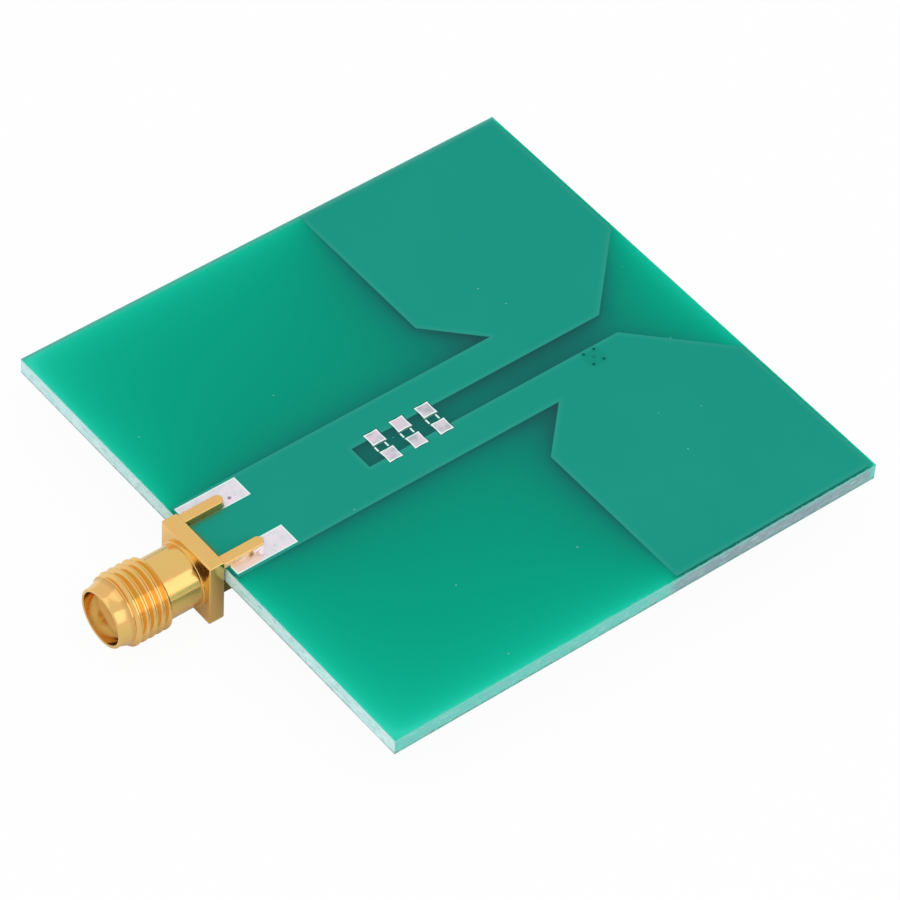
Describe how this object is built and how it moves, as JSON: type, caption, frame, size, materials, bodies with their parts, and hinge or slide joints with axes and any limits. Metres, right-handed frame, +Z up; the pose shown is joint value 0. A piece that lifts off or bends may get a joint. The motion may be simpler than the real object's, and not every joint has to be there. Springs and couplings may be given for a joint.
{
  "type": "printed dipole antenna",
  "caption": "Flat square printed dipole antenna with a slotted twin-strip feed and a threaded coaxial edge jack.",
  "frame": {"origin": "centre of the jack's mouth", "axes": "+Y along the jack's axis into the board, +X across the two arms, +Z up from the side with the dipole"},
  "size_m": [0.0488, 0.0576, 0.0064],
  "materials": {
    "laminate": "woven glass and resin, cut edges",
    "copper": "etched copper foil",
    "solder_mask": "green solder mask",
    "tin": "levelled tin",
    "print": "white board printing",
    "gold_plate": "gold plate on turned brass",
    "insulator": "white fluoropolymer",
    "solder": "bright solder"
  },
  "bodies": {
    "root": {"laminate": "laminate", "dipole_foil": "copper", "feed_foil": "copper", "lower_ground_foil_left": "copper", "lower_ground_foil_right": "copper", "crossover_vias": "copper", "ground_via": "copper", "upper_mask": "solder_mask", "lower_mask": "solder_mask", "upper_ground_pad_left": "tin", "upper_ground_pad_right": "tin", "lower_ground_pad_left": "tin", "lower_ground_pad_right": "tin", "feed_pad": "tin", "chip_pad_1_left": "tin", "chip_pad_1_right": "tin", "chip_pad_2_left": "tin", "chip_pad_2_right": "tin", "chip_pad_3_left": "tin", "chip_pad_3_right": "tin", "chip_print": "print", "jack_shell": "gold_plate", "jack_insulator": "insulator", "jack_contact": "gold_plate", "solder_upper_left": "solder", "solder_upper_right": "solder", "solder_lower_left": "solder", "solder_lower_right": "solder", "solder_feed": "solder"}
  },
  "joints": []
}
